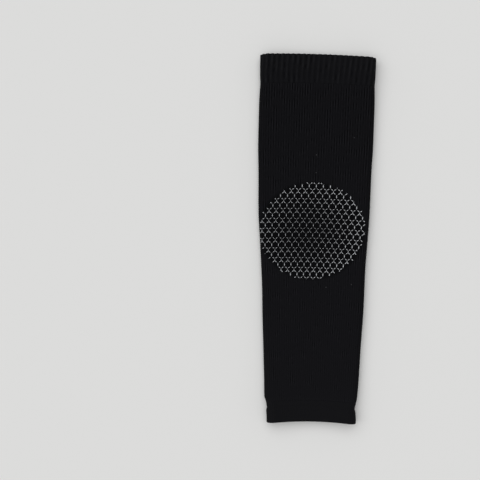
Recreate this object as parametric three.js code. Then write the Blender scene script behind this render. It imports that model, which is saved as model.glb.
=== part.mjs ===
// A knitted compression knee sleeve lying flat: a ribbed cuff, a tapering leg tube, a turned hem at the
// ankle end, and a honeycomb of raised grip beads printed over the knee.
// Millimetres. X runs across the sleeve, Y along it with the cuff at +Y, and Z is up from the table.
import * as THREE from 'three';

// Driving dimensions
const LENGTH = 268.8; // from the cuff's lip to the corners of the hem
const CUFF_DEPTH = 21.4;
const HEM_DEPTH = 17.4; // measured at the corners
const PIECE_GAP = 0.3; // between neighbouring pieces
const CUFF_WALL = 1.9;
const LEG_WALL = 1.3;
const HEM_WALL = 1.8;
const LIP_ROUND = 0.7; // radius that softens the edges of the cuff and the hem

// One-by-one rib of the cuff: ridges with narrow furrows between them
const RIBS = 48;
const RIB_RELIEF = 0.6;
const RIB_HEIGHTS = [0, 0, -RIB_RELIEF, -RIB_RELIEF]; // ridge and furrow over one rib
const RIB_DRIFT = 1.5; // how far the ribs wander round the cuff from its lip to its end

// Facets around a plain tube
const TOP_STEPS = 10;
const UNDER_STEPS = 4;
const FOLD_STEPS = 8;

// Honeycomb of grip beads, drawn in the flat as on its stencil: across from the sleeve's axis, up along +Y
const PRINT_CENTRE = { across: -2.2, up: 5.7 };
const PRINT_HALF_WIDTH = 38.5;
const PRINT_HALF_HEIGHT = 35.3;
const CELL_PITCH = 4.96; // between the uprights of one row
const TALL_UPRIGHT = 2.1; // rows of tall uprights and rows of short ones take turns
const SHORT_UPRIGHT = 1.25;
const STEEP_RISE = 2.1; // of the slants above a tall upright
const FLAT_RISE = 1.68; // of the slants below it
const NET_START = { across: 3.53, up: 2.43 }; // middle of one tall upright that the net is hung from

// How the net lies on the relaxed knit, which narrows towards the ankle
const PRINT_LEAN = 0.053; // sideways drift of the rows for each millimetre up
const ROW_TILT = 0.0085; // fall of the rows for each millimetre to the right
const ROW_SAG = 1.25; // how much lower the rows lie at the side folds than in the middle

const BEAD_WIDTH = 0.6;
const BEAD_HEIGHT = 0.5;
const SHORTEST_SPUR = 0.7; // cut strands at the rim are at least this long
const BEND_STEP = 0.35; // radians of fold that one straight stretch of a bead may span

// Flattened sections down the sleeve. Drop is measured from the cuff's lip on the middle line, half is half
// the flat width, shift moves the section sideways, fold and crown are the heights of the side folds and of
// the middle of the upper layer, bow is how far the corners sit below the middle, and skew is how much lower
// than that the right corner sits, and how much higher the left one. Corner is how far the outermost part of
// the folds sits below their top, which rounds the ends of the lip.
const SECTIONS = [
  { drop: 0, half: 42.4, shift: 0, fold: 12.2, crown: 8.6, bow: 1.7, skew: 0.3, corner: 1.2 },
  { drop: 14, half: 42.2, shift: -0.1, fold: 11.4, crown: 8.5, bow: 1.55, skew: 0.25, corner: 0 },
  { drop: 21.4, half: 41.8, shift: -0.1, fold: 10.6, crown: 8.4, bow: 1.4, skew: 0.2, corner: 0 },
  { drop: 36.4, half: 42.1, shift: -0.2, fold: 9, crown: 8.2, bow: 0.8, skew: 0.1, corner: 0 },
  { drop: 65, half: 41.95, shift: -0.4, fold: 8, crown: 8, bow: 0.3, skew: 0, corner: 0 },
  { drop: 85, half: 41.2, shift: -0.5, fold: 8, crown: 8, bow: 0.1, skew: 0, corner: 0 },
  { drop: 115, half: 40.55, shift: -0.5, fold: 8, crown: 8, bow: 0, skew: 0, corner: 0 },
  { drop: 135, half: 39.3, shift: -0.3, fold: 8, crown: 8, bow: 0, skew: 0, corner: 0 },
  { drop: 155, half: 38, shift: -0.2, fold: 8, crown: 8, bow: 0.1, skew: 0, corner: 0 },
  { drop: 170, half: 37.35, shift: 0.1, fold: 8, crown: 8, bow: 0.2, skew: 0, corner: 0 },
  { drop: 185, half: 36.9, shift: 0.2, fold: 8, crown: 8, bow: 0.4, skew: 0, corner: 0 },
  { drop: 215, half: 35.4, shift: 0.1, fold: 8, crown: 8, bow: 0.7, skew: 0, corner: 0 },
  { drop: 235.4, half: 34.5, shift: 0.15, fold: 8.4, crown: 8, bow: 1, skew: 0, corner: 0 },
  { drop: 248.4, half: 33.8, shift: -0.05, fold: 9.6, crown: 8.1, bow: 1.2, skew: 0, corner: 0 },
  { drop: 252.4, half: 32.9, shift: 0.15, fold: 10.3, crown: 8.2, bow: 1.4, skew: 0, corner: 0 },
  { drop: 255.4, half: 32.2, shift: 0.05, fold: 10.9, crown: 8.3, bow: 1.5, skew: 0, corner: 0 },
  { drop: 258.4, half: 32.4, shift: 0, fold: 11.3, crown: 8.3, bow: 1.6, skew: 0, corner: 0 },
  { drop: 262.4, half: 32.6, shift: 0.55, fold: 11.6, crown: 8.4, bow: 1.6, skew: 0, corner: 0 },
  { drop: 267.2, half: 32.65, shift: 0.7, fold: 12, crown: 8.4, bow: 1.6, skew: 0, corner: 0 },
];

const HEM_LIP_DROP = SECTIONS.at(-1).drop;
const HEM_START = LENGTH - HEM_DEPTH;

const BLACK_KNIT = { color: '#151517', roughness: 0.92, metalness: 0 };
const GREY_GRIP = { color: '#8d8f92', roughness: 0.45, metalness: 0 };

// The section at any drop, in straight steps between the rows of the table
function sectionAt(drop) {
  const next = SECTIONS.findIndex((row) => row.drop >= drop);
  if (next <= 0) return SECTIONS[0];
  const above = SECTIONS[next - 1];
  const below = SECTIONS[next];
  const share = (drop - above.drop) / (below.drop - above.drop);
  const between = (key) => THREE.MathUtils.lerp(above[key], below[key], share);
  return {
    drop,
    half: between('half'),
    shift: between('shift'),
    fold: between('fold'),
    crown: between('crown'),
    bow: between('bow'),
    skew: between('skew'),
    corner: between('corner'),
  };
}

// Lengths of one section's outline: half of a flat side, one fold, and the whole way round
function outlineLengths(section) {
  const radius = section.fold / 2;
  const flat = section.half - radius;
  const turn = Math.PI * radius;
  return { radius, flat, turn, girth: 4 * flat + 2 * turn };
}

// A place on the outline and the direction out of the skin there. Arc runs from the middle of the upper
// layer to the right, round the right fold, back under the sleeve and up the left fold.
function outlinePoint(section, arc) {
  const { radius, flat, turn, girth } = outlineLengths(section);
  const along = THREE.MathUtils.euclideanModulo(arc + flat, girth);
  if (along <= 2 * flat) {
    const x = along - flat;
    const climb = 1 - (x / flat) ** 2;
    return { x, z: section.fold + (section.crown - section.fold) * climb, outX: 0, outZ: 1 };
  }
  const pastTop = along - 2 * flat;
  if (pastTop <= turn) {
    const angle = pastTop / radius;
    const outX = Math.sin(angle);
    const outZ = Math.cos(angle);
    return { x: flat + radius * outX, z: radius + radius * outZ, outX, outZ };
  }
  const pastRight = pastTop - turn;
  if (pastRight <= 2 * flat) return { x: flat - pastRight, z: 0, outX: 0, outZ: -1 };
  const angle = (pastRight - 2 * flat) / radius;
  const outX = -Math.sin(angle);
  const outZ = -Math.cos(angle);
  return { x: -flat + radius * outX, z: radius + radius * outZ, outX, outZ };
}

// A point at some height over the knit's outer face, or under it where the height is negative
function skinPoint(drop, arc, height) {
  const section = sectionAt(drop);
  const place = outlinePoint(section, arc);
  const across = place.x / section.half;
  return new THREE.Vector3(
    section.shift + place.x + place.outX * height,
    LENGTH / 2 - drop - section.bow * across ** 2 - section.skew * across - section.corner * place.outX ** 6,
    place.z + place.outZ * height,
  );
}

// Stops around a plain tube: even steps on the two flat sides and on the two folds
function plainStops(section) {
  const { flat, turn } = outlineLengths(section);
  const stops = [];
  const addRun = (start, length, steps) => {
    for (let step = 0; step < steps; step += 1) stops.push(start + (length * step) / steps);
  };
  addRun(-flat, 2 * flat, TOP_STEPS);
  addRun(flat, turn, FOLD_STEPS);
  addRun(flat + turn, 2 * flat, UNDER_STEPS);
  addRun(3 * flat + turn, turn, FOLD_STEPS);
  return stops;
}

function plainLoop(drop, height) {
  return plainStops(sectionAt(drop)).map((arc) => skinPoint(drop, arc, height));
}

// A loop through every ridge and furrow of the cuff. Relief is how much of the rib shows in it.
function ribbedLoop(drop, height, relief) {
  const { girth } = outlineLengths(sectionAt(drop));
  const count = RIBS * RIB_HEIGHTS.length;
  const drift = (RIB_DRIFT * drop) / CUFF_DEPTH;
  return Array.from({ length: count }, (unused, stop) => {
    const rib = RIB_HEIGHTS[stop % RIB_HEIGHTS.length] * relief;
    return skinPoint(drop, (girth * (stop + 0.5)) / count - drift, height + rib);
  });
}

// A closed solid from loops of equally many points: each loop joins the next, and the last the first
function loopSolid(loops) {
  const count = loops[0].length;
  const index = [];
  loops.forEach((loop, row) => {
    const nextRow = (row + 1) % loops.length;
    for (let stop = 0; stop < count; stop += 1) {
      const nextStop = (stop + 1) % count;
      const here = row * count + stop;
      const right = row * count + nextStop;
      const below = nextRow * count + stop;
      const corner = nextRow * count + nextStop;
      index.push(here, below, corner, here, corner, right);
    }
  });
  return solidGeometry(loops.flat(), index);
}

function solidGeometry(points, index) {
  const geometry = new THREE.BufferGeometry().setFromPoints(points);
  geometry.setIndex(index);
  geometry.computeVertexNormals();
  return geometry;
}

function ribCuff() {
  const end = CUFF_DEPTH - PIECE_GAP;
  return loopSolid([
    ribbedLoop(0, -LIP_ROUND, 0.5),
    ribbedLoop(LIP_ROUND, 0, 1),
    ribbedLoop(end, 0, 1),
    ribbedLoop(end, -CUFF_WALL, 0),
    ribbedLoop(0, -CUFF_WALL, 0),
  ]);
}

// Drops of the table's rows that lie between two drops
function rowsBetween(start, end) {
  return SECTIONS.map((row) => row.drop).filter((drop) => drop > start && drop < end);
}

function legTube() {
  const drops = [CUFF_DEPTH, ...rowsBetween(CUFF_DEPTH, HEM_START), HEM_START];
  const outer = drops.map((drop) => plainLoop(drop, 0));
  const inner = drops.map((drop) => plainLoop(drop, -LEG_WALL));
  return loopSolid([...outer, ...inner.reverse()]);
}

function ankleHem() {
  const start = HEM_START + PIECE_GAP;
  const end = HEM_LIP_DROP - LIP_ROUND;
  const drops = [start, ...rowsBetween(start, end), end];
  const outer = drops.map((drop) => plainLoop(drop, 0));
  const inner = drops.map((drop) => plainLoop(drop, -HEM_WALL));
  const lip = [plainLoop(HEM_LIP_DROP, -LIP_ROUND), plainLoop(HEM_LIP_DROP, LIP_ROUND - HEM_WALL)];
  return loopSolid([...outer, ...lip, ...inner.reverse()]);
}

// Knots of the honeycomb in the flat. Level 0 and 1 are the foot and head of a tall upright, 2 and 3 those of
// a short one half a pitch to its right, and bands of four levels stack up the print.
const SHORT_FOOT = TALL_UPRIGHT + STEEP_RISE;
const LEVEL_RISE = [0, TALL_UPRIGHT, SHORT_FOOT, SHORT_FOOT + SHORT_UPRIGHT];
const BAND_RISE = SHORT_FOOT + SHORT_UPRIGHT + FLAT_RISE;
const KNOT_NEIGHBOURS = [
  [{ level: 1 }, { level: 3, band: -1 }, { level: 3, band: -1, column: -1 }],
  [{ level: 0 }, { level: 2, column: -1 }, { level: 2 }],
  [{ level: 3 }, { level: 1 }, { level: 1, column: 1 }],
  [{ level: 2 }, { level: 0, band: 1, column: 1 }, { level: 0, band: 1 }],
];

function knotPlace({ band, column, level }) {
  const up = band * BAND_RISE + LEVEL_RISE[level] - TALL_UPRIGHT / 2;
  const across = (column + (level > 1 ? 0.5 : 0)) * CELL_PITCH;
  return new THREE.Vector2(NET_START.across + across, NET_START.up + up);
}

// Under 1 inside the print's oval, 1 on its rim
function printReach(place) {
  const across = (place.x - PRINT_CENTRE.across) / PRINT_HALF_WIDTH;
  const up = (place.y - PRINT_CENTRE.up) / PRINT_HALF_HEIGHT;
  return Math.hypot(across, up);
}

// The point on a strand where it leaves the oval, at least a short spur away from its knot
function rimPoint(inside, outside) {
  let near = 0;
  let far = 1;
  for (let halving = 0; halving < 20; halving += 1) {
    const middle = (near + far) / 2;
    if (printReach(inside.clone().lerp(outside, middle)) < 1) near = middle;
    else far = middle;
  }
  const share = Math.max(near, SHORTEST_SPUR / inside.distanceTo(outside));
  return inside.clone().lerp(outside, share);
}

// Knots inside the oval, each with its three strands in anticlockwise order
function honeycombKnots() {
  const knots = new Map();
  const keyOf = (knot) => `${knot.band} ${knot.column} ${knot.level}`;
  const bands = Math.ceil(PRINT_HALF_HEIGHT / BAND_RISE) + 1;
  const columns = Math.ceil(PRINT_HALF_WIDTH / CELL_PITCH) + 2;
  for (let band = -bands; band <= bands; band += 1) {
    for (let column = -columns; column <= columns; column += 1) {
      for (let level = 0; level < LEVEL_RISE.length; level += 1) {
        const knot = { band, column, level };
        const place = knotPlace(knot);
        if (printReach(place) < 1) knots.set(keyOf(knot), { ...knot, place });
      }
    }
  }
  knots.forEach((knot) => {
    const strands = KNOT_NEIGHBOURS[knot.level].map(({ level, band = 0, column = 0 }) => {
      const other = { level, band: knot.band + band, column: knot.column + column };
      const partner = knots.get(keyOf(other));
      const end = partner ? partner.place : rimPoint(knot.place, knotPlace(other));
      return { partner, end, angle: Math.atan2(end.y - knot.place.y, end.x - knot.place.x) };
    });
    knot.strands = strands.sort((a, b) => a.angle - b.angle);
  });
  return [...knots.values()];
}

// Where the edges of two neighbouring strands of a knot meet
function knotCorner(place, first, second) {
  const opening = THREE.MathUtils.euclideanModulo(second.angle - first.angle, 2 * Math.PI);
  const middle = first.angle + opening / 2;
  const reach = BEAD_WIDTH / 2 / Math.sin(opening / 2);
  return new THREE.Vector2(place.x + reach * Math.cos(middle), place.y + reach * Math.sin(middle));
}

// Where a place on the stencil comes to lie on the knit
const PRINT_SECTION = sectionAt(LENGTH / 2 - PRINT_CENTRE.up);
function knitPlace(place) {
  const across = place.x + PRINT_LEAN * (place.y - NET_START.up);
  const sag = ROW_SAG * (across / PRINT_SECTION.half) ** 2;
  const drop = LENGTH / 2 - place.y + sag + ROW_TILT * across;
  const section = sectionAt(drop);
  return { drop, section, arc: (across * section.half) / PRINT_SECTION.half - section.shift };
}

// How far round a side fold the skin has turned at a place on the print
function foldAngle(place) {
  const { section, arc } = knitPlace(place);
  const { radius, flat } = outlineLengths(section);
  return Math.max(0, (Math.abs(arc) - flat) / radius);
}

// The honeycomb as one solid. A bead has a flat foot over the knit and a ridge along its middle, and the
// three beads of a knot share its corners and its peak.
function gripPrint() {
  const knots = honeycombKnots();
  const points = [];
  const index = [];
  const lay = (place, height) => {
    const { drop, arc } = knitPlace(place);
    return points.push(skinPoint(drop, arc, height)) - 1;
  };
  const addFoot = (place) => lay(place, PIECE_GAP);
  const addPeak = (place) => lay(place, PIECE_GAP + BEAD_HEIGHT);

  knots.forEach((knot) => {
    knot.peak = addPeak(knot.place);
    knot.strands.forEach((strand, turn) => {
      const next = knot.strands[(turn + 1) % 3];
      strand.leftPlace = knotCorner(knot.place, strand, next);
      strand.left = addFoot(strand.leftPlace);
    });
    knot.strands.forEach((strand, turn) => {
      const before = knot.strands[(turn + 2) % 3];
      strand.rightPlace = before.leftPlace;
      strand.right = before.left;
    });
    index.push(...knot.strands.map((strand) => strand.left).reverse());
  });

  // One straight stretch of a bead between two cross-sections: foot, left face and right face
  const addStretch = (from, to) => {
    index.push(from.left, to.left, to.right, from.left, to.right, from.right);
    index.push(from.left, from.peak, to.peak, from.left, to.peak, to.left);
    index.push(from.right, to.right, to.peak, from.right, to.peak, from.peak);
  };

  const addBead = (knot, strand, finish) => {
    const bend = Math.abs(foldAngle(knot.place) - foldAngle(strand.end));
    const stretches = Math.max(1, Math.ceil(bend / BEND_STEP));
    let from = { left: strand.left, right: strand.right, peak: knot.peak };
    for (let step = 1; step < stretches; step += 1) {
      const share = step / stretches;
      const to = {
        left: addFoot(strand.leftPlace.clone().lerp(finish.leftPlace, share)),
        right: addFoot(strand.rightPlace.clone().lerp(finish.rightPlace, share)),
        peak: addPeak(knot.place.clone().lerp(strand.end, share)),
      };
      addStretch(from, to);
      from = to;
    }
    addStretch(from, finish);
  };

  knots.forEach((knot, order) => {
    knot.strands.forEach((strand) => {
      if (strand.partner) {
        if (knots.indexOf(strand.partner) < order) return;
        const back = strand.partner.strands.find((other) => other.partner === knot);
        addBead(knot, strand, {
          left: back.right,
          right: back.left,
          peak: strand.partner.peak,
          leftPlace: back.rightPlace,
          rightPlace: back.leftPlace,
        });
        return;
      }
      const side = new THREE.Vector2(-Math.sin(strand.angle), Math.cos(strand.angle));
      const leftPlace = strand.end.clone().addScaledVector(side, BEAD_WIDTH / 2);
      const rightPlace = strand.end.clone().addScaledVector(side, -BEAD_WIDTH / 2);
      const finish = { left: addFoot(leftPlace), right: addFoot(rightPlace), peak: addPeak(strand.end) };
      addBead(knot, strand, { ...finish, leftPlace, rightPlace });
      index.push(finish.left, finish.peak, finish.right);
    });
  });
  return solidGeometry(points, index);
}

function piece(name, geometry, finish) {
  const mesh = new THREE.Mesh(geometry, new THREE.MeshStandardMaterial(finish));
  mesh.name = name;
  return mesh;
}

const sleeve = new THREE.Group();
sleeve.add(piece('rib_cuff', ribCuff(), BLACK_KNIT));
sleeve.add(piece('leg_tube', legTube(), BLACK_KNIT));
sleeve.add(piece('ankle_hem', ankleHem(), BLACK_KNIT));
sleeve.add(piece('grip_print', gripPrint(), GREY_GRIP));

export default sleeve;
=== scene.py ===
# %% [markdown]
# This lesson dresses one compression knee sleeve, lying flat on a table. The real thing is a soft black
# tube that is knitted in one go, with a ribbed cuff at the thigh end, a turned hem at the ankle end and a
# round honeycomb of grey grip beads printed over the knee.
# Plain solids of the four pieces already exist as a fixed frame. They settle every size and place. In
# this lesson a finer mesh stands in for each solid and shows the ribs, the stitches and the beads, and
# gets its own finish.

import math
from collections import namedtuple

import bpy
import numpy as np
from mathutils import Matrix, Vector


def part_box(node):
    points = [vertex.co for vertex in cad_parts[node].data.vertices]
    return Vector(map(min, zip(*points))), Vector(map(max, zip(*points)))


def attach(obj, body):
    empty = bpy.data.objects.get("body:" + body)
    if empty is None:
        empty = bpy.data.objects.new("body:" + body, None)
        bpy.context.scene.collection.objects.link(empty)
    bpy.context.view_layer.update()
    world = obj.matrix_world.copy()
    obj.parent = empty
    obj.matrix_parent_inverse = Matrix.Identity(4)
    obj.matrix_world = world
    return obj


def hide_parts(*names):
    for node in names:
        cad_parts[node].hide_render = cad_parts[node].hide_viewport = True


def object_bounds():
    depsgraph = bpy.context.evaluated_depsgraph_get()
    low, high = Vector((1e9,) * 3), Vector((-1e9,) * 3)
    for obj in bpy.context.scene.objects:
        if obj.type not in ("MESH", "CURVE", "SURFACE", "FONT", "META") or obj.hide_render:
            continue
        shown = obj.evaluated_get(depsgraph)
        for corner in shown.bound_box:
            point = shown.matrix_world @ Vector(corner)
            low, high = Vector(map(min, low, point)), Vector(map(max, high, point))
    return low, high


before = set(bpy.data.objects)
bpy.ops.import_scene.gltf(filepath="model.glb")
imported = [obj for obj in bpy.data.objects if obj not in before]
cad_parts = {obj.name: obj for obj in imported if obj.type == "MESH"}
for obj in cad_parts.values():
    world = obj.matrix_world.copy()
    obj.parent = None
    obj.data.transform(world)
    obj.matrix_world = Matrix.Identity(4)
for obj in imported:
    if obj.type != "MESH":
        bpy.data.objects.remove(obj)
cad_low, cad_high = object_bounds()
MM = 0.001
scene = bpy.context.scene
print("Solids in the frame:", sorted(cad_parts))
print("Their box in mm:", [round((high - low) / MM, 1) for low, high in zip(cad_low, cad_high)])

# %% [markdown]
# The view looks straight down from a good way off, and the sleeve lies turned a touch clockwise in it. A
# camera close above the table would spread the cuff and the hem apart, so a long lens is hung high up
# instead, where rays are nearly parallel. Its height follows from how much table the picture shows.
# Rolling the camera the other way gives the sleeve its small turn, so that the sleeve itself can stay
# square to the frame.

# %% Camera
PICTURE_MIDDLE = (-54.1, -1.98)  # place on the table under the middle of the picture, in mm
PICTURE_WIDTH = 350.4  # stretch of table that the picture shows, in mm
EDGE_LEVEL = 4.0  # height of the sleeve's side edges, where the width is measured, in mm
LENS = 85
SENSOR = 36
LYING_TURN = math.radians(1.25)

camera = bpy.data.objects.new("camera", bpy.data.cameras.new("camera"))
camera.data.lens = LENS
camera.data.sensor_width = SENSOR
camera_height = EDGE_LEVEL + PICTURE_WIDTH * LENS / SENSOR
camera.location = (PICTURE_MIDDLE[0] * MM, PICTURE_MIDDLE[1] * MM, camera_height * MM)
camera.rotation_euler = (0, 0, LYING_TURN)
scene.collection.objects.link(camera)
scene.camera = camera
print("Camera height in mm:", round(camera_height))

# %% [markdown]
# The table is a plain pale sheet, so much larger than the picture that none of its edges shows. An even
# tone is enough for its colour. Its roughness changes a little from place to place, as on any real table.
# The colours are set against measured values, so the picture is shown with the standard curve, which
# keeps them as they are.

# %% Table
TABLE_TONE = 0.78
TABLE_BLUE = 0.99  # share of blue in that tone
TABLE_SIDE = 6.0  # metres
TABLE_LEVEL = -0.05 * MM  # a hair under the lowest yarn

scene.view_settings.view_transform = "Standard"


def add_node(tree, kind, inputs=None, **settings):
    """A shader node with its settings. Each input is a plain value or the output of another node."""
    node = tree.nodes.new("ShaderNode" + kind)
    for name, value in settings.items():
        setattr(node, name, value)
    for name, value in (inputs or {}).items():
        if isinstance(value, bpy.types.NodeSocket):
            tree.links.new(value, node.inputs[name])
        else:
            node.inputs[name].default_value = value
    return node


def table_material():
    material = bpy.data.materials.new("pale_table")
    material.use_nodes = True
    tree = material.node_tree
    shader = tree.nodes["Principled BSDF"]
    shader.inputs["Base Color"].default_value = (TABLE_TONE, TABLE_TONE, TABLE_TONE * TABLE_BLUE, 1)
    shader.inputs["Specular IOR Level"].default_value = 0.1
    place = add_node(tree, "TexCoord")
    cloud = add_node(tree, "TexNoise", {"Vector": place.outputs["Object"], "Scale": 3.0})
    spread = add_node(tree, "MapRange", {"Value": cloud.outputs["Fac"], "To Min": 0.6, "To Max": 0.75})
    tree.links.new(spread.outputs["Result"], shader.inputs["Roughness"])
    return material


table_mesh = bpy.data.meshes.new("table")
table_edge = TABLE_SIDE / 2
table_corners = [(-1, -1), (1, -1), (1, 1), (-1, 1)]
table_mesh.from_pydata(
    [(x * table_edge, y * table_edge, TABLE_LEVEL) for x, y in table_corners], [], [(0, 1, 2, 3)]
)
table_mesh.materials.append(table_material())
table = bpy.data.objects.new("table", table_mesh)
scene.collection.objects.link(table)
print("Table:", TABLE_SIDE, "m wide, finish", table_mesh.materials[0].name)

# %% [markdown]
# Black cloth on a pale table is lit softly here, as in a white room with one wide lamp overhead. The lamp
# stands a little to the upper left, so the shadow is broad on the right and below the sleeve and only a
# thin line on its other sides. An area lamp would light the table unevenly, so the lamp is a sun: it is
# the same everywhere, and its angle sets how soft the shadow is.

# %% Lamp and room light
ROOM_LIGHT = 0.345
LAMP_STRENGTH = 1.89
LAMP_SPREAD = math.radians(85)
LAMP_SIDE = (-0.27, 0.18, 0.946)  # from the sleeve towards the lamp

lamp = bpy.data.objects.new("lamp", bpy.data.lights.new("lamp", "SUN"))
lamp.data.angle = LAMP_SPREAD
lamp.data.energy = LAMP_STRENGTH
lamp.location = LAMP_SIDE
lamp.rotation_mode = "QUATERNION"
lamp.rotation_quaternion = lamp.location.to_track_quat("Z", "Y")
scene.collection.objects.link(lamp)

room = bpy.data.worlds.new("room")
room.use_nodes = True
room.node_tree.nodes["Background"].inputs["Color"].default_value = (1, 1, 1, 1)
room.node_tree.nodes["Background"].inputs["Strength"].default_value = ROOM_LIGHT
scene.world = room
print("Lamp tilt in degrees:", round(math.degrees(lamp.location.angle(table_mesh.polygons[0].normal)), 1))

# %% [markdown]
# A knitted tube that lies flat is two layers joined by a round fold on each side. The lower layer is flat
# on the table. The folds are springy and stand highest at the cuff and the hem, where the knit is thick,
# and the upper layer sinks a little between them. The form could be sculpted or simulated as cloth, but
# every width is known, so a short table of sections is enough. A row gives the drop from the cuff's lip,
# half the width, the shift to the side, the height of the folds and of the middle, and how far the row
# bows, tilts and rounds off at its ends. Between the rows the values follow a smooth curve that never
# overshoots a row.
# The shape functions work in millimetres, and a mesh is scaled to metres when it is made.

# %% Sections of the flattened tube
Section = namedtuple("Section", "drop half shift fold crown bow skew corner")
SECTIONS = [
    Section(0, 42.4, 0.0, 12.2, 8.6, 1.7, 0.45, 0.15),
    Section(14, 42.2, -0.1, 11.4, 8.5, 1.55, 0.25, 0.0),
    Section(21.4, 41.8, -0.1, 10.6, 8.4, 1.4, 0.2, 0.0),
    Section(36.4, 42.1, -0.2, 9.0, 8.2, 0.8, 0.1, 0.0),
    Section(65, 41.95, -0.4, 8.0, 8.0, 0.3, 0.0, 0.0),
    Section(85, 41.2, -0.5, 8.0, 8.0, 0.1, 0.0, 0.0),
    Section(115, 40.55, -0.5, 8.0, 8.0, 0.0, 0.0, 0.0),
    Section(135, 39.3, -0.3, 8.0, 8.0, 0.0, 0.0, 0.0),
    Section(155, 38.0, -0.2, 8.0, 8.0, 0.1, 0.0, 0.0),
    Section(170, 37.35, 0.1, 8.0, 8.0, 0.2, 0.0, 0.0),
    Section(185, 36.9, 0.2, 8.0, 8.0, 0.4, 0.0, 0.0),
    Section(215, 35.4, 0.1, 8.0, 8.0, 0.7, 0.0, 0.0),
    Section(235.4, 34.5, 0.15, 8.4, 8.0, 1.0, 0.0, 0.0),
    Section(248.4, 33.8, -0.05, 9.6, 8.1, 1.2, 0.0, 0.0),
    Section(252.4, 32.9, 0.15, 10.3, 8.2, 1.4, 0.0, 0.0),
    Section(255.4, 32.2, 0.05, 10.9, 8.3, 1.5, 0.0, 0.0),
    Section(258.4, 32.55, 0.15, 11.3, 8.3, 1.6, 0.0, 0.0),
    Section(262.4, 32.6, 0.55, 11.6, 8.4, 1.6, 0.0, 0.0),
    Section(267.2, 32.55, 0.6, 12.0, 8.4, 1.35, -0.15, 0.0),
]
STOPS = np.array([row.drop for row in SECTIONS])
LIP = -cad_low.y / MM  # the cuff's lip along Y, as far from the origin as the other end is
CUFF_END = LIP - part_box("leg_tube")[1].y / MM
KNEE_DROP = 130.0  # middle of the knee below the cuff's lip, in mm
HEM_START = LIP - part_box("ankle_hem")[1].y / MM
HEM_LIP = SECTIONS[-1].drop


def smooth_column(name):
    """The values of one column and the slope of its curve at each row."""
    values = np.array([getattr(row, name) for row in SECTIONS])
    rises = np.diff(values) / np.diff(STOPS)
    before, after = rises[:-1], rises[1:]
    steady = before * after > 0
    slopes = np.zeros(len(values))
    slopes[1:-1][steady] = 2 * before[steady] * after[steady] / (before + after)[steady]
    return values, slopes


COLUMNS = {name: smooth_column(name) for name in Section._fields[1:]}


def at_drop(name, drop):
    """One column of the table at any drop from the lip."""
    values, slopes = COLUMNS[name]
    row = np.clip(np.searchsorted(STOPS, drop) - 1, 0, len(STOPS) - 2)
    step = STOPS[row + 1] - STOPS[row]
    share = np.clip((drop - STOPS[row]) / step, 0, 1)
    rest = 1 - share
    start = values[row] * (1 + 2 * share) + slopes[row] * step * share
    end = values[row + 1] * (1 + 2 * rest) - slopes[row + 1] * step * rest
    return start * rest**2 + end * share**2


def girth(drop):
    """The way round the tube."""
    fold = at_drop("fold", drop)
    return 4 * (at_drop("half", drop) - fold / 2) + math.pi * fold


girths = [float(girth(drop)) for drop in (CUFF_END / 2, KNEE_DROP, HEM_LIP)]
print("Cuff end and hem start in mm below the lip:", round(CUFF_END, 2), round(HEM_START, 2))
print("Girth in mm at cuff, knee and hem:", [round(way, 1) for way in girths])

# %% [markdown]
# One function gives the place of any point of the knit: how far down from the cuff's lip it is, how far
# round the tube, and how high over the knit's face. A section is two flat stretches joined by two half
# circles, so the way round it is followed stretch by stretch. All pieces are cut from this one skin, which
# is why they meet without gaps.

# %% Skin of the tube
CORNER_POWER = 6  # keeps the rounding of a row close to the folds


def skin(drop, arc, height):
    """Points of the knit. Arc runs round the tube, from the middle of the upper layer to the right."""
    half, fold = at_drop("half", drop), at_drop("fold", drop)
    radius = fold / 2
    flat = half - radius
    along = np.mod(arc + flat, girth(drop))
    on_top = np.clip(along, 0, 2 * flat) - flat
    right_turn = np.clip((along - 2 * flat) / radius, 0, math.pi)
    beneath = np.clip(along - 2 * flat - math.pi * radius, 0, 2 * flat)
    left_turn = np.clip((along - 4 * flat - math.pi * radius) / radius, 0, math.pi)
    out_x = np.sin(right_turn + left_turn)
    out_z = np.cos(right_turn + left_turn)
    x = on_top - beneath + radius * out_x
    spring = (at_drop("crown", drop) - fold) * (1 - (on_top / flat) ** 2)
    y = LIP - drop - at_drop("bow", drop) * (x / half) ** 2 - at_drop("skew", drop) * x / half
    y = y - at_drop("corner", drop) * out_x**CORNER_POWER
    z = radius + radius * out_z + spring + out_z * height
    corners = (at_drop("shift", drop) + x + out_x * height, y + 0 * height, np.maximum(z, 0))
    return np.stack(np.broadcast_arrays(*corners), axis=-1)


print("Middle of the knee on the skin, in mm:", skin(KNEE_DROP, 0.0, 0.0).round(2).tolist())

# %% [markdown]
# The knit finishes share what black yarn does, so each effect is a node group that a material places with
# its own values. The first two read a UV map that counts wales across and courses along, so that their
# pattern follows the knit round the folds.
# The first effect is tone, and it is painted light and shade: the crown of each wale is painted paler
# and the furrow beside it darker, as shade falls in the furrows, so fine lines run along the knit. They
# come and go in short dashes, because no wale is pulled as tight all the way. Down a piece the pull eases
# off: the dashes get rarer there, and the tone drifts a little.

# %% Node group for painted light and shade along the wales
WALES = 96
KNIT_MAP = "knit"
WALE_STEP = 0.27  # way through the noise from one wale to the next
DASH_START = 0.45  # noise at which a dash starts to show
DASH_FULL = 0.60  # noise at which it shows in full
EASED_PATCHES = 0.10  # how much rarer the dashes get where the knit is eased


def new_group(name, inputs, outputs):
    """An empty shader group with named number sockets, and its two end nodes."""
    group = bpy.data.node_groups.new(name, "ShaderNodeTree")
    for socket, value in inputs.items():
        made = group.interface.new_socket(socket, in_out="INPUT", socket_type="NodeSocketFloat")
        made.default_value = value
    for socket in outputs:
        group.interface.new_socket(socket, in_out="OUTPUT", socket_type="NodeSocketFloat")
    return group, group.nodes.new("NodeGroupInput"), group.nodes.new("NodeGroupOutput")


def maths(tree, operation, *values):
    """The result of a maths node on numbers or sockets."""
    return add_node(tree, "Math", dict(enumerate(values)), operation=operation).outputs["Value"]


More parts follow.
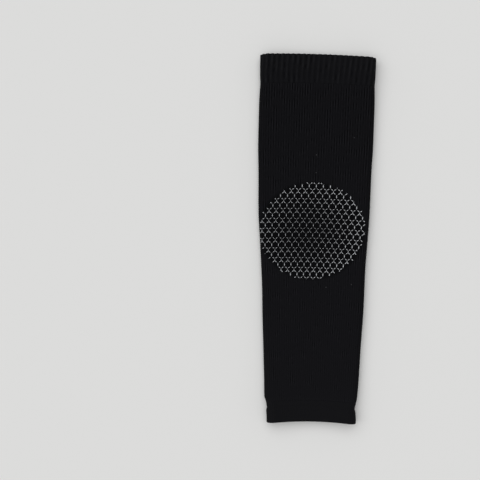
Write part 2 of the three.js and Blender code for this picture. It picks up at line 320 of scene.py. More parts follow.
def knit_places(tree):
    """Wale and course numbers of the knit map."""
    counts = add_node(tree, "UVMap", uv_map=KNIT_MAP)
    places = add_node(tree, "SeparateXYZ", {"Vector": counts.outputs["UV"]})
    return places.outputs["X"], places.outputs["Y"]


def wale_shade_group():
    sockets = {"Lines": 1.0, "Dash Courses": 6.0, "Steady": 0.03, "Ease Courses": 160.0, "Ease Tone": 0.17}
    tree, given, result = new_group("painted_wale_shade", sockets, ["Tone"])
    wale, course = knit_places(tree)
    turns = maths(tree, "MULTIPLY", maths(tree, "SUBTRACT", wale, 0.5), given.outputs["Lines"])
    # paler on the crowns and darker in the furrows: painted light and shade
    ridge = maths(tree, "COSINE", maths(tree, "MULTIPLY", turns, 2 * math.pi))
    across = maths(tree, "MULTIPLY", maths(tree, "WRAP", wale, WALES / 2, -WALES / 2), WALE_STEP)
    along = maths(tree, "DIVIDE", course, given.outputs["Dash Courses"])
    spot = add_node(tree, "CombineXYZ", {"X": across, "Y": along})
    rough = {"Scale": 1.0, "Detail": 2.0, "Roughness": 0.7}
    noise = add_node(tree, "TexNoise", {"Vector": spot.outputs["Vector"], **rough})
    eased = maths(tree, "DIVIDE", course, given.outputs["Ease Courses"])
    patches = maths(tree, "MULTIPLY_ADD", eased, -EASED_PATCHES, noise.outputs["Fac"])
    shown = {"Value": patches, "From Min": DASH_START, "From Max": DASH_FULL}
    dashes = add_node(tree, "MapRange", shown)
    tree.links.new(given.outputs["Steady"], dashes.inputs["To Min"])
    swing = maths(tree, "MULTIPLY", ridge, dashes.outputs["Result"])
    middle = maths(tree, "MULTIPLY_ADD", eased, given.outputs["Ease Tone"], 0.5)
    tree.links.new(maths(tree, "MULTIPLY_ADD", swing, 0.5, middle), result.inputs["Tone"])
    return tree


painted_wale_shade = wale_shade_group()
print("Group", painted_wale_shade.name, "has", [item.name for item in painted_wale_shade.interface.items_tree])

# %% [markdown]
# The second effect is the yarn itself: a few fibres that twist round each other along both arms of a
# stitch. The stitches are modelled, but fibres a tenth of a millimetre thick would need millions of
# faces, so they are bump. The arms of a stitch are mirror images, so the distance from the middle of the
# wale stands in for the wale number.

# %% Node group for the fibres of the yarn
def fibre_group():
    tree, given, result = new_group("yarn_fibres", {"Arm Slope": 1.6, "Fibres": 9.0}, ["Height"])
    wale, course = knit_places(tree)
    from_middle = maths(tree, "ABSOLUTE", maths(tree, "SUBTRACT", maths(tree, "FRACT", wale), 0.5))
    climb = maths(tree, "MULTIPLY", from_middle, given.outputs["Arm Slope"])
    along = maths(tree, "ADD", course, climb)
    across = maths(tree, "MULTIPLY", from_middle, given.outputs["Fibres"])
    spot = add_node(tree, "CombineXYZ", {"X": across, "Y": along, "Z": maths(tree, "FLOOR", wale)})
    noise = add_node(tree, "TexNoise", {"Vector": spot.outputs["Vector"], "Scale": 2.2, "Detail": 3.0})
    tree.links.new(noise.outputs["Fac"], result.inputs["Height"])
    return tree


yarn_fibres = fibre_group()
print("Group", yarn_fibres.name, "takes", [item.name for item in yarn_fibres.interface.items_tree])

# %% [markdown]
# The third effect is lint. A few pale specks catch on any black knit. A cell pattern scatters one dot in
# each cell, and only a small share of the cells keeps its dot.

# %% Node group for specks of lint
LINT_CELLS = 110.0  # cells along a metre


def lint_group():
    tree, given, result = new_group("lint_specks", {"Share": 0.02, "Size": 0.035}, ["Mask"])
    place = add_node(tree, "TexCoord")
    spots = {"Vector": place.outputs["Object"], "Scale": LINT_CELLS}
    cells = add_node(tree, "TexVoronoi", spots, voronoi_dimensions="2D")
    draw = add_node(tree, "SeparateColor", {"Color": cells.outputs["Color"]})
    kept = maths(tree, "LESS_THAN", draw.outputs["Red"], given.outputs["Share"])
    dot = maths(tree, "LESS_THAN", cells.outputs["Distance"], given.outputs["Size"])
    tree.links.new(maths(tree, "MULTIPLY", kept, dot), result.inputs["Mask"])
    return tree


lint_specks = lint_group()
print("Group", lint_specks.name, "is ready")

# %% [markdown]
# Black yarn is not painted black: it is dark all through and its fibres scatter little light, so the
# finish is very rough, the shine is turned far down and a breath of sheen stays for the fuzz. Ribs, plain
# knit and hem share this recipe with their own tones, and the back of the knit, seen in the openings, is
# a shade darker.

# %% Knit finishes
KNIT_SHINE = 0.03
KNIT_FUZZ = 0.02
KNIT_LINT = 0.022  # share of the cells that keep their speck
HEM_LINT = 0.004
FIBRE_DEPTH = 0.08 * MM
# The dark tone of each finish is painted shade in the furrows, the light tone painted light on the crowns.
KNIT_TONES = {  # dark and light tone of each finish
    "plain_knit": ((0.0010, 0.0010, 0.0014, 1), (0.0100, 0.0099, 0.0116, 1)),
    "rib_knit": ((0.0034, 0.0034, 0.0042, 1), (0.0106, 0.0106, 0.0120, 1)),
    "hem_knit": ((0.0060, 0.0060, 0.0070, 1), (0.0076, 0.0076, 0.0087, 1)),
    "knit_back": ((0.0030, 0.0030, 0.0036, 1), (0.0050, 0.0050, 0.0060, 1)),
}
LINT_TONE = (0.05, 0.05, 0.053, 1)
COLOUR_A = 6  # colour sockets of a mix node
COLOUR_B = 7
COLOUR_OUT = 2


def mix_colours(tree, share, first, second):
    """A colour that lies a share of the way from the first to the second."""
    mix = add_node(tree, "Mix", {"Factor": share, COLOUR_A: first, COLOUR_B: second}, data_type="RGBA")
    return mix.outputs[COLOUR_OUT]


def knit_material(name, lines, lint_share):
    """Rough black knit. Its lines of painted light and shade run between a dark and a light tone."""
    dark, light = KNIT_TONES[name]
    material = bpy.data.materials.new(name)
    material.use_nodes = True
    tree = material.node_tree
    shader = tree.nodes["Principled BSDF"]
    shader.inputs["Specular IOR Level"].default_value = KNIT_SHINE
    shader.inputs["Sheen Weight"].default_value = KNIT_FUZZ
    furrow_shade = add_node(tree, "Group", node_tree=painted_wale_shade)
    for socket, value in lines.items():
        furrow_shade.inputs[socket].default_value = value
    lint = add_node(tree, "Group", node_tree=lint_specks)
    lint.inputs["Share"].default_value = lint_share
    yarn = mix_colours(tree, furrow_shade.outputs["Tone"], dark, light)
    speckled = mix_colours(tree, lint.outputs["Mask"], yarn, LINT_TONE)
    tree.links.new(speckled, shader.inputs["Base Color"])
    fibres = add_node(tree, "Group", node_tree=yarn_fibres)
    matt = add_node(tree, "MapRange", {"Value": fibres.outputs["Height"], "To Min": 0.98, "To Max": 0.78})
    tree.links.new(matt.outputs["Result"], shader.inputs["Roughness"])
    raised = {"Height": fibres.outputs["Height"], "Distance": FIBRE_DEPTH, "Strength": 0.6}
    bump = add_node(tree, "Bump", raised)
    tree.links.new(bump.outputs["Normal"], shader.inputs["Normal"])
    return material


PLAIN_LINES = {"Steady": 0.05}
# On the cuff one line spans a rib, so the painted shade falls in the furrows between the ribs.
RIB_LINES = {"Lines": 0.5, "Steady": 0.2, "Dash Courses": 8.0, "Ease Courses": 25.0, "Ease Tone": -0.3}
HEM_LINES = {"Steady": 0.1, "Ease Courses": 60.0}
plain_knit = knit_material("plain_knit", PLAIN_LINES, KNIT_LINT)
rib_knit = knit_material("rib_knit", RIB_LINES, KNIT_LINT)
hem_knit = knit_material("hem_knit", HEM_LINES, HEM_LINT)
knit_back = knit_material("knit_back", PLAIN_LINES, 0.0)
print("Finishes:", [finish.name for finish in (plain_knit, rib_knit, hem_knit, knit_back)])

# %% [markdown]
# The tube has 96 wales all the way down: the columns of stitches that run along it. They get narrower
# towards the ankle, which is what makes the taper. A mesh of the knit is a grid whose columns follow the
# wales and whose rows follow the courses. Wales that lie on the table need fewer columns, because nobody
# sees their stitches. One helper turns such a grid into a closed wall: it runs down the outside, turns
# over the edge, comes back on the inside and joins itself. It also writes the knit map that the finishes
# read.

# %% Wales and the helper for a knitted wall
SHOWN_PARTS = (0, 0.25, 0.5, 0.75)  # valley, one arm of the stitch, middle, other arm
RESTING_PARTS = (0, 0.5)

knee_flat = float(at_drop("half", KNEE_DROP) - at_drop("fold", KNEE_DROP) / 2)
first_resting = math.ceil(WALES * (0.5 - knee_flat / float(girth(KNEE_DROP))))
resting_wales = range(first_resting, WALES - first_resting)
wale_stops = np.array(
    [
        wale + part
        for wale in range(WALES)
        for part in (RESTING_PARTS if wale in resting_wales else SHOWN_PARTS)
    ]
)


def knitted_wall(name, rings, wales, courses, finish):
    """A closed wall from rings of points in mm, with the knit map in its UV layer."""
    rows, columns = rings.shape[:2]
    here = np.arange(rows * columns).reshape(rows, columns)
    below = np.roll(here, -1, axis=0)
    right = np.roll(here, -1, axis=1)
    corner = np.roll(below, -1, axis=1)
    faces = np.stack([here, below, corner, right], axis=-1).reshape(-1, 4)
    mesh = bpy.data.meshes.new(name)
    mesh.from_pydata((rings.reshape(-1, 3) * MM).tolist(), [], faces.tolist())
    next_wale = np.append(wales[1:], WALES)
    next_course = np.append(courses[1:], courses[-1] + 1)
    places = np.empty((rows, columns, 4, 2))
    places[..., 0] = np.stack([wales, wales, next_wale, next_wale], axis=-1)
    places[..., 1] = np.stack([courses, next_course, next_course, courses], axis=-1)[:, None]
    mesh.uv_layers.new(name=KNIT_MAP).data.foreach_set("uv", places.ravel())
    mesh.materials.append(finish)
    mesh.shade_smooth()
    piece = bpy.data.objects.new(name, mesh)
    scene.collection.objects.link(piece)
    return piece


def round_the_tube(drop, wales, height, drift):
    """Points of the skin at wale numbers. Drift moves the wales sideways, in mm."""
    return skin(drop, girth(drop) * wales / WALES - drift, height)


print("Columns round the tube:", len(wale_stops), "with", len(resting_wales), "wales on the table")

# %% [markdown]
# The leg is plain knit. Each stitch shows as a V: two arms of yarn that rise from the middle of the wale
# to its sides. Tubes of yarn looped through each other would be true, but there are some fifteen thousand
# stitches, so the face is a relief instead. The rows of the grid bend into a chevron over each wale, the
# arms stand proud, the valleys between wales are deep, and every second row dips where one stitch dives
# under the next.
# The relief fades out at both ends, so that the leg meets the cuff and the hem on a plain line. The rows
# on the inside take the darker finish of the back.

# %% Leg of plain knit
COURSE = 1.46  # height of one stitch, in mm
STITCH_RELIEF = 0.45  # from the valleys to the arms, in mm
STITCH_PROUD = 0.12  # how far the arms stand out from the skin
STITCH_MIDDLE = 0.62  # share of the relief left in the middle of a stitch
STITCH_DIP = 0.30  # share of the relief lost where a stitch dives under the next
ARM_RISE = 0.85  # rise of the arms, in courses
LEG_WALL = 1.3  # thickness of the knit
FADE_COURSES = 2.5  # courses over which the stitches run out at both ends
JOIN_DEPTH = 0.12  # groove where two pieces meet
RIB_DRIFT = 1.5  # sideways lean of the ribs over the cuff, in mm, which the wales below keep
BACK_ROWS = 10  # rows of the grid on the inside


def ease(value):
    """A smooth step from 0 to 1."""
    share = np.clip(value, 0, 1)
    return share * share * (3 - 2 * share)


def across_wale(wales):
    """Place within each wale, from -0.5 at one valley through 0 in the middle."""
    return np.mod(wales, 1) - 0.5


def arm_shape(wales):
    """1 in the middle of each wale and 0 in its valleys."""
    return 1 - 2 * np.abs(across_wale(wales))


def stitch_height(wales, courses):
    """Relief of plain stitches, from 0 in the valleys to 1 on the arms."""
    arms = np.interp(np.abs(across_wale(wales)), [0, 0.25, 0.5], [STITCH_MIDDLE, 1, 0])
    dive = 0.5 - 0.5 * np.cos(2 * math.pi * courses)
    return arms * (1 - STITCH_DIP * dive)


def knit_leg():
    leg_length = HEM_START - CUFF_END
    count = round(leg_length / COURSE)
    courses = np.arange(2 * count + 1) / 2
    drops = (CUFF_END + leg_length * courses / count)[:, None]
    near_end = np.minimum(courses, count - courses)[:, None] / FADE_COURSES
    relief = ease(near_end)
    chevron = ARM_RISE * COURSE * arm_shape(wale_stops) * relief
    rise = STITCH_PROUD - STITCH_RELIEF * (1 - stitch_height(wale_stops, courses[:, None]))
    height = -JOIN_DEPTH + (rise + JOIN_DEPTH) * relief
    outer = round_the_tube(drops + chevron, wale_stops, height, RIB_DRIFT)
    back_drops = np.linspace(HEM_START, CUFF_END, BACK_ROWS)[:, None]
    inner = round_the_tube(back_drops, wale_stops, np.full(len(wale_stops), -LEG_WALL), RIB_DRIFT)
    rings = np.concatenate([outer, inner])
    all_courses = np.concatenate([courses, np.linspace(count + 1, 2 * count, BACK_ROWS)])
    piece = knitted_wall("knit_leg", rings, wale_stops, all_courses, plain_knit)
    piece.data.materials.append(knit_back)
    inside = np.repeat(np.arange(len(rings)) >= len(outer), len(wale_stops))
    piece.data.polygons.foreach_set("material_index", inside.astype(int))
    return piece


leg = knit_leg()
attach(leg, "root")
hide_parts("leg_tube")

# %% [markdown]
# The cuff is one-by-one rib: one wale comes forward, the next goes back, so its wall is a ripple of even
# thickness, with ridges outside where there are furrows inside. The ripple is what lets a cuff stretch
# and grip. The ribs lean a little as they run, and the lip is softly scalloped because each ridge ends in
# a small loop.
# The wall is made as a grid again: down the outside with stitches on the ridges, then back up on the
# inside and over the lip in a half circle.

# %% Ribbed cuff
RIDGE_PARTS = (0, 1 / 6, 1 / 3, 1 / 2, 2 / 3, 5 / 6)
FURROW_PARTS = (0, 1 / 4, 1 / 2, 3 / 4)
RIB_DEPTH = 0.95  # from the ridges to the furrows
RIB_YARN = 1.0  # thickness of the rippled wall
RIB_COURSE = 1.3  # height of one stitch
RIB_FULLNESS = 0.7  # under 1, a ridge is broader than a furrow
RIB_STITCH = 0.28  # depth of the stitches on a ridge
RIB_ARM_RISE = 0.6  # rise of their arms, in courses
LIP_FADE = 2.0  # courses over which stitches run out towards a lip
INSIDE_STEP = 4  # rows outside for each row inside
RIB_FADE = 5.0  # courses over which the ribs run out into the plain knit
LIP_STEPS = 7  # rows of the grid round a lip
SCALLOP = 0.1  # how far the lip falls back at the furrows
rib_stops = np.array(
    [wale + part for wale in range(WALES) for part in (FURROW_PARTS if wale % 2 else RIDGE_PARTS)]
)


def rib_height(wales):
    """1 on the ridges and 0 in the furrows."""
    wave = 0.5 + 0.5 * np.cos(math.pi * (wales - 0.5))
    return wave**RIB_FULLNESS


def ribbed_cuff():
    lip_round = RIB_YARN / 2
    count = round((CUFF_END - lip_round) / RIB_COURSE)
    courses = np.arange(2 * count + 1) / 2
    drops = lip_round + (CUFF_END - lip_round) * courses / count
    to_end = ease((count - courses) / RIB_FADE)[:, None]
    to_lip = ease(courses / LIP_FADE)[:, None]
    ridge = rib_height(rib_stops)
    stitches = stitch_height(rib_stops, courses[:, None]) * ridge
    ripple = RIB_DEPTH * (1 - ridge)
    sink = ripple + RIB_STITCH * ridge * (1 - stitches) * to_lip
    scallop = SCALLOP * (1 - ridge)
    on_ridge = rib_stops % 2 < 1
    chevron = RIB_ARM_RISE * RIB_COURSE * arm_shape(rib_stops) * on_ridge * to_lip * to_end
    outer_drops = drops[:, None] + chevron + scallop * (1 - to_lip)
    drift = RIB_DRIFT * drops[:, None] / CUFF_END
    height = -(JOIN_DEPTH + (sink - JOIN_DEPTH) * to_end)
    outer = round_the_tube(outer_drops, rib_stops, height, drift)
    inner_rows = slice(None, None, INSIDE_STEP)
    inner_depth = RIB_YARN + ripple * to_end[inner_rows]
    inner_drops = drops[inner_rows, None]
    inner = round_the_tube(inner_drops, rib_stops, -inner_depth, drift[inner_rows])[::-1]
    turn = np.linspace(math.pi, 0, LIP_STEPS + 2)[1:-1, None]
    lip_drops = lip_round * (1 - np.sin(turn)) + scallop
    lip = round_the_tube(lip_drops, rib_stops, -(ripple + lip_round * (1 - np.cos(turn))), 0 * turn)
    rings = np.concatenate([outer, inner, lip])
    inner_courses = np.linspace(count + 1, 2 * count, len(inner) + len(lip))
    all_courses = np.concatenate([courses, inner_courses])
    return knitted_wall("ribbed_cuff", rings, rib_stops, all_courses, rib_knit)


cuff = ribbed_cuff()
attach(cuff, "root")
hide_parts("rib_cuff")

# %% [markdown]
# The hem at the ankle end is knitted twice as long as it shows, turned inside and caught, so it is a flat
# band of two layers with a round edge. Its stitches are pressed flat, so the relief is low, and a shallow
# groove shows where the turned layer is caught.

# %% Turned hem
HEM_WALL = 1.8  # thickness of both layers
HEM_COURSE = 1.2
HEM_RELIEF = 0.16  # from the valleys to the arms
HEM_FADE = 1.5  # courses over which the stitches of the hem set in
CATCH_DROP = 255.8  # middle of the groove, in mm below the cuff's lip
CATCH_WIDTH = 0.9
CATCH_DEPTH = 0.22


def turned_hem():
    lip_round = HEM_WALL / 2
    count = round((HEM_LIP - lip_round - HEM_START) / HEM_COURSE)
    courses = np.arange(2 * count + 1) / 2
    drops = (HEM_START + (HEM_LIP - lip_round - HEM_START) * courses / count)[:, None]
    from_leg = ease(courses / HEM_FADE)[:, None]
    to_lip = ease((count - courses) / LIP_FADE)[:, None]
    catch = CATCH_DEPTH * np.exp(-(((drops - CATCH_DROP) / CATCH_WIDTH) ** 2))
    sink = HEM_RELIEF * (1 - stitch_height(wale_stops, courses[:, None])) * to_lip + catch
    chevron = ARM_RISE * HEM_COURSE * arm_shape(wale_stops) * to_lip * from_leg
    height = -(JOIN_DEPTH + (sink - JOIN_DEPTH) * from_leg)
    outer = round_the_tube(drops + chevron, wale_stops, height, RIB_DRIFT)
    turn = np.linspace(0, math.pi, LIP_STEPS + 2)[1:-1, None]
    lip_drops = HEM_LIP - lip_round * (1 - np.sin(turn))
    lip_depth = lip_round * (1 - np.cos(turn)) + 0 * wale_stops
    lip = round_the_tube(lip_drops, wale_stops, -lip_depth, RIB_DRIFT)
    inner_drops = drops[::-INSIDE_STEP]
    inner = round_the_tube(inner_drops, wale_stops, np.full(len(wale_stops), -HEM_WALL), RIB_DRIFT)
    rings = np.concatenate([outer, lip, inner])
    all_courses = np.concatenate([courses, np.linspace(count + 1, 2 * count, len(lip) + len(inner))])
    return knitted_wall("turned_hem", rings, wale_stops, all_courses, hem_knit)


hem = turned_hem()
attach(hem, "root")
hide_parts("ankle_hem")

# %% [markdown]
# The grip print is a honeycomb of thin beads of soft rubber, pressed on through a stencil while the knit
# lies flat. Its rows of uprights are tall and short in turn, and the slants above a tall upright are
# steeper than those below it. The net is cut off by an oval, so short spurs stick out all round, and on
# the left it runs on over the fold.
# A net of curves with a round bevel would leave lumps where three curves cross. Here the knots and
# strands are worked out in the flat first. Then a coarse cage is built, with three shared corners at each
# knot and a few sections along each strand, and a subdivision modifier rounds it into soft beads.

# %% Honeycomb in the flat
PRINT_CENTRE = np.array([-2.2, 5.7])  # across and up, in mm
PRINT_REACH = np.array([38.5, 35.3])  # from the centre to the rim
CELL_PITCH = 4.96
TALL_UPRIGHT = 2.1
SHORT_UPRIGHT = 1.25
STEEP_RISE = 2.1  # rise of the slants above a tall upright
FLAT_RISE = 1.68  # rise of the slants below it
NET_START = np.array([3.53, 2.43])  # middle of one tall upright
LEVEL_RISE = np.cumsum([0, TALL_UPRIGHT, STEEP_RISE, SHORT_UPRIGHT, FLAT_RISE])
Knot = namedtuple("Knot", "band column level")


def knot_place(knot):
    """Where a knot lies in the flat. Levels 0 and 1 end a tall upright, 2 and 3 a short one."""
    across = (knot.column + (0.5 if knot.level > 1 else 0)) * CELL_PITCH
    up = knot.band * LEVEL_RISE[4] + LEVEL_RISE[knot.level] - TALL_UPRIGHT / 2
    return NET_START + np.array([across, up])


def neighbours(knot):
    """The three knots that a knot is tied to."""
    band, column, level = knot
    if level == 0:
        return [Knot(band, column, 1), Knot(band - 1, column, 3), Knot(band - 1, column - 1, 3)]
    if level == 1:
        return [Knot(band, column, 0), Knot(band, column - 1, 2), Knot(band, column, 2)]
    if level == 2:
        return [Knot(band, column, 3), Knot(band, column, 1), Knot(band, column + 1, 1)]
    return [Knot(band, column, 2), Knot(band + 1, column + 1, 0), Knot(band + 1, column, 0)]


def print_reach(place):
    """Under 1 inside the oval and 1 on its rim."""
    return float(np.hypot(*((place - PRINT_CENTRE) / PRINT_REACH)))


BANDS = range(-8, 8)
NET_COLUMNS = range(-12, 12)
all_knots = [Knot(band, column, level) for band in BANDS for column in NET_COLUMNS for level in range(4)]
knots = {knot: knot_place(knot) for knot in all_knots if print_reach(knot_place(knot)) < 1}
print("Knots in the print:", len(knots))

# %% [markdown]
# Rubber that is pressed on a knit gathers into drops: a strand is fattest at one place and almost gives
# out at some of the knots. So each kind of strand has its own few stops, which say how wide it is at what
# share of its length, and each kind of knot has its own width. The beads are also finer in the middle of
# the print and bolder towards its rim, where the stencil leaves more rubber.

# %% Widths of the beads
Stop = namedtuple("Stop", "share width")
STRANDS = {  # by the levels of their knots: tall upright, steep slant, short upright, flat slant
    (0, 1): [Stop(0.20, 0.65), Stop(0.56, 1.38), Stop(0.86, 0.85)],
    (1, 2): [Stop(0.30, 0.15), Stop(0.66, 1.10), Stop(0.88, 0.60)],
    (2, 3): [Stop(0.40, 0.90), Stop(0.80, 0.55)],
    (3, 0): [Stop(0.14, 0.30), Stop(0.42, 1.17), Stop(0.80, 0.15)],
}
KNOT_WIDTHS = (0.20, 0.45, 0.50, 0.25)  # at the foot and head of a tall upright, then of a short one
MIDDLE_THIN = 0.66  # share of the width in the middle of the print
RIM_GAIN = 0.42  # what the rim adds to that share
RIGHT_BOLD = 0.13  # gain of the width towards the right, where the stencil was pressed harder


def boldness(place):
    """What the widths are multiplied by at a place of the print."""
    pressed = 1 + RIGHT_BOLD * (place[0] - PRINT_CENTRE[0]) / PRINT_REACH[0]
    return pressed * (MIDDLE_THIN + RIM_GAIN * print_reach(place) ** 2)


def strand_stops(knot, other):
    """Stops of a strand, counted from the first of its two knots."""
    if (knot.level, other.level) in STRANDS:
        return STRANDS[knot.level, other.level]
    return [Stop(1 - stop.share, stop.width) for stop in reversed(STRANDS[other.level, knot.level])]


row_shares = [float(boldness(PRINT_CENTRE + PRINT_REACH * (side, 0))) for side in (-1, 0, 1)]
print("Share of the widths at left, middle and right:", [round(share, 2) for share in row_shares])

# %% [markdown]
# Now the cage is built in the flat. A section across a strand has three points: a foot on both sides, sunk
# a little into the knit, and the ridge. At a knot the feet are shared by neighbouring strands and the ridge
# by all three. A strand that the oval cuts ends in a short round tip.

# %% Cage of the beads
RIDGE_LEAST = 0.34  # height of the ridge where a strand has no width
RIDGE_GAIN = 0.55  # rise of the ridge for each millimetre of width
FOOT_LEVEL = -0.35  # the feet are sunk below the stitches
SPUR_TIP = 0.4  # length of the rounded end of a cut strand


def ridge_height(width):
    return RIDGE_LEAST + RIDGE_GAIN * width


class Cage:
    """Points in the flat with their height and the width of their strand, and the faces between them."""

    def __init__(self):
        self.points = []
        self.faces = []

    def add(self, place, height, width):
        self.points.append((place[0], place[1], height, width))
        return len(self.points) - 1

    def section(self, place, direction, width):
        """Left foot, ridge and right foot across a strand."""
        left = np.array([-direction[1], direction[0]]) * width / 2
        sides = [(left, FOOT_LEVEL), (0 * left, ridge_height(width)), (-left, FOOT_LEVEL)]
        return [self.add(place + offset, height, width) for offset, height in sides]

    def tie(self, first, second):
        """The three sides of a strand between two sections."""
        for side in range(3):
            after = (side + 1) % 3
            self.faces.append((first[side], first[after], second[after], second[side]))


def tie_knots(cage):
    """Feet and ridge of each knot, and the section at which each of its strands starts."""
    starts = {}
    for knot, place in knots.items():
        strands = []
        for other in neighbours(knot):
            across, up = knot_place(other) - place
            strands.append((math.atan2(up, across), other))
        strands.sort(key=lambda strand: strand[0])
        width = boldness(place) * KNOT_WIDTHS[knot.level]
        ridge = cage.add(place, ridge_height(width), width)
        feet = []
        for turn in range(3):
            angle = strands[turn][0]
            opening = (strands[(turn + 1) % 3][0] - angle) % (2 * math.pi)
            reach = width / 2 / math.sin(opening / 2)
            corner = reach * np.array([math.cos(angle + opening / 2), math.sin(angle + opening / 2)])
            feet.append(cage.add(place + corner, FOOT_LEVEL, width))
        cage.faces.append(tuple(feet[::-1]))
        for turn in range(3):
            starts[knot, strands[turn][1]] = [feet[turn], ridge, feet[turn - 1]]
    return starts


def grip_cage():
    cage = Cage()
    starts = tie_knots(cage)
    for (knot, other), section in starts.items():
        if other in knots and (knot.level, other.level) not in STRANDS:
            continue  # this strand is made from its other end
        spot = knots[knot]
        width = boldness(spot) * KNOT_WIDTHS[knot.level]
        way = knot_place(other) - spot
        step = way / np.hypot(*way)
        for stop in strand_stops(knot, other):
            ahead = knots[knot] + stop.share * way
            if print_reach(ahead) > 1:
                break
            spot = ahead
            width = boldness(spot) * stop.width
            before = section
            section = cage.section(spot, step, width)
            cage.tie(before, section)
        if other in knots:
            cage.tie(section, starts[other, knot][::-1])
        else:
            tip = cage.section(spot + SPUR_TIP * step, step, width)
            cage.tie(section, tip)
            cage.faces.append(tuple(tip))
    return cage


bead_cage = grip_cage()
print("Points and faces of the cage:", len(bead_cage.points), len(bead_cage.faces))

# %% [markdown]
# When the print was made the knit was stretched evenly. The slack knit tapers and its rows droop a little
# towards the sides, so the print does too: one function moves each place of the stencil to where it lies
# on the knit now. The cage is laid on the skin there and rounded. Each of its points also keeps the width
# of its strand, for the finish.

# %% Grip print on the knit
BEAD_ROUNDING = 1  # levels of the subdivision
STRAND_WIDTH = "strand_width"  # name under which the mesh keeps the widths
PRINT_LEAN = 0.053  # way that an upright leans to the right for each millimetre up
ROW_TILT = 0.0085  # way that a row falls for each millimetre to the right
ROW_DROOP = 1.25  # way that a row falls at its ends
print_half = float(at_drop("half", LIP - PRINT_CENTRE[1]))


def on_knit(across, up):
    """Drop and arc of the place where a point of the stencil lies on the slack knit."""
    leant = across + PRINT_LEAN * (up - NET_START[1])
    drop = LIP - up + ROW_DROOP * (leant / print_half) ** 2 + ROW_TILT * leant
    return drop, leant * at_drop("half", drop) / print_half - at_drop("shift", drop)


def grip_honeycomb(cage):
    across, up, height, width = np.array(cage.points).T
    drop, arc = on_knit(across, up)
    mesh = bpy.data.meshes.new("grip_honeycomb")
    mesh.from_pydata((skin(drop, arc, height) * MM).tolist(), [], cage.faces)
    mesh.attributes.new(STRAND_WIDTH, "FLOAT", "POINT").data.foreach_set("value", width)
    mesh.shade_smooth()
    piece = bpy.data.objects.new("grip_honeycomb", mesh)
    scene.collection.objects.link(piece)
    rounding = piece.modifiers.new("rounding", "SUBSURF")
    rounding.levels = BEAD_ROUNDING
    rounding.render_levels = BEAD_ROUNDING
    return piece


grip = grip_honeycomb(bead_cage)
cage_corners = sum(len(face.vertices) for face in grip.data.polygons)
print("Triangles in the rounded beads:", cage_corners * 4 ** (BEAD_ROUNDING - 1) * 2)

# %% [markdown]
# The rubber is a satin grey. Printed rubber is never quite even: it is thinner in places and picks up
# dust, so two noises move the tone and the gloss a little. Where a strand is thin, the black knit shows
# through it, so the tone follows the widths that the mesh keeps, from near black to grey.

# %% Grip finish
GRIP_DARK = (0.465, 0.48, 0.499, 1)
GRIP_LIGHT = (0.645, 0.666, 0.69, 1)
GRIP_THIN = (0.03, 0.03, 0.032, 1)  # where the knit shows through
SEEN_THROUGH = 0.19  # width at which the knit shows through, in mm
COVERED = 0.84  # width at which it is covered
GRIP_PATCHES = 60.0  # patches of tone along a metre
GRIP_GRAIN = 2500.0  # grains of the rubber's skin along a metre
GRAIN_DEPTH = 0.03 * MM


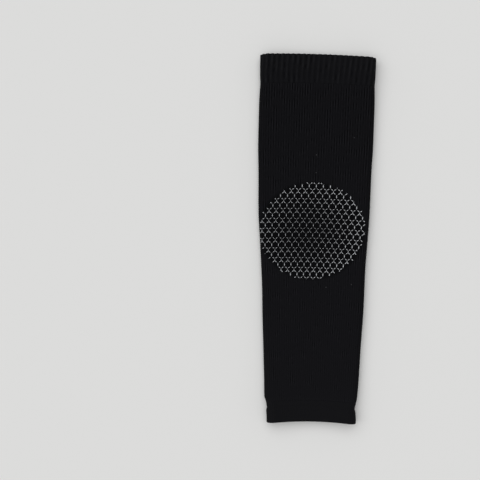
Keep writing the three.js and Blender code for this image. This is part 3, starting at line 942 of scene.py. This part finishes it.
def grip_material():
    material = bpy.data.materials.new("grip_rubber")
    material.use_nodes = True
    tree = material.node_tree
    shader = tree.nodes["Principled BSDF"]
    place = add_node(tree, "TexCoord")
    spots = {"Vector": place.outputs["Object"], "Scale": GRIP_PATCHES, "Detail": 2.0}
    patches = add_node(tree, "TexNoise", spots)
    tone = mix_colours(tree, patches.outputs["Fac"], GRIP_DARK, GRIP_LIGHT)
    width = add_node(tree, "Attribute", attribute_name=STRAND_WIDTH)
    cover = add_node(tree, "MapRange", {
        "Value": width.outputs["Fac"],
        "From Min": SEEN_THROUGH,
        "From Max": COVERED,
    })
    rubber = mix_colours(tree, cover.outputs["Result"], GRIP_THIN, tone)
    tree.links.new(rubber, shader.inputs["Base Color"])
    grains = {"Vector": place.outputs["Object"], "Scale": GRIP_GRAIN, "Detail": 2.0}
    grain = add_node(tree, "TexNoise", grains)
    gloss = add_node(tree, "MapRange", {"Value": grain.outputs["Fac"], "To Min": 0.35, "To Max": 0.6})
    tree.links.new(gloss.outputs["Result"], shader.inputs["Roughness"])
    raised = {"Height": grain.outputs["Fac"], "Distance": GRAIN_DEPTH, "Strength": 0.4}
    bump = add_node(tree, "Bump", raised)
    tree.links.new(bump.outputs["Normal"], shader.inputs["Normal"])
    return material


grip.data.materials.append(grip_material())
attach(grip, "root")
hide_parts("grip_print")
print("Grip finish:", grip.data.materials[0].name)

# %% [markdown]
# The knit between the beads is painted darker than the knit around it: painted shade for the shade
# that the beads cast into the cells. The plain knit's finish gets one more step for that: a soft oval
# mask on the upper layer draws its colour towards a deeper black.

# %% Painted shade on the knit between the beads
# Painted shade between the beads: its tone, how strong it is, and where it fades out.
PAINTED_SHADE_TONE = (0.0008, 0.0008, 0.0010, 1)
PAINTED_SHADE_SHARE = 0.62
PAINTED_SHADE_INSIDE = 0.92  # square of the reach at which the painted shade starts to fade
PAINTED_SHADE_OUTSIDE = 1.08  # square of the reach at which it is gone
UPPER_LAYER = 4.0  # height above which the knit belongs to the upper layer, in mm


# Paints shade into the plain knit's colour between the beads.
def paint_bead_shade(material):
    tree = material.node_tree
    shader = tree.nodes["Principled BSDF"]
    yarn = shader.inputs["Base Color"].links[0].from_socket
    place = add_node(tree, "TexCoord")
    axes = add_node(tree, "SeparateXYZ", {"Vector": place.outputs["Object"]}).outputs
    shares = []
    for axis, centre, reach in zip("XY", PRINT_CENTRE * MM, PRINT_REACH * MM):
        shares.append(maths(tree, "DIVIDE", maths(tree, "SUBTRACT", axes[axis], centre), reach))
    squares = [maths(tree, "MULTIPLY", share, share) for share in shares]
    oval = add_node(tree, "MapRange", {
        "Value": maths(tree, "ADD", *squares),
        "From Min": PAINTED_SHADE_INSIDE,
        "From Max": PAINTED_SHADE_OUTSIDE,
        "To Min": PAINTED_SHADE_SHARE,
        "To Max": 0.0,
    })
    upper = maths(tree, "GREATER_THAN", axes["Z"], UPPER_LAYER * MM)
    mask = maths(tree, "MULTIPLY", oval.outputs["Result"], upper)
    tree.links.new(mix_colours(tree, mask, yarn, PAINTED_SHADE_TONE), shader.inputs["Base Color"])


paint_bead_shade(plain_knit)
colour_steps = [node for node in plain_knit.node_tree.nodes if node.type == "MIX"]
print("Colour steps of the plain knit:", len(colour_steps))
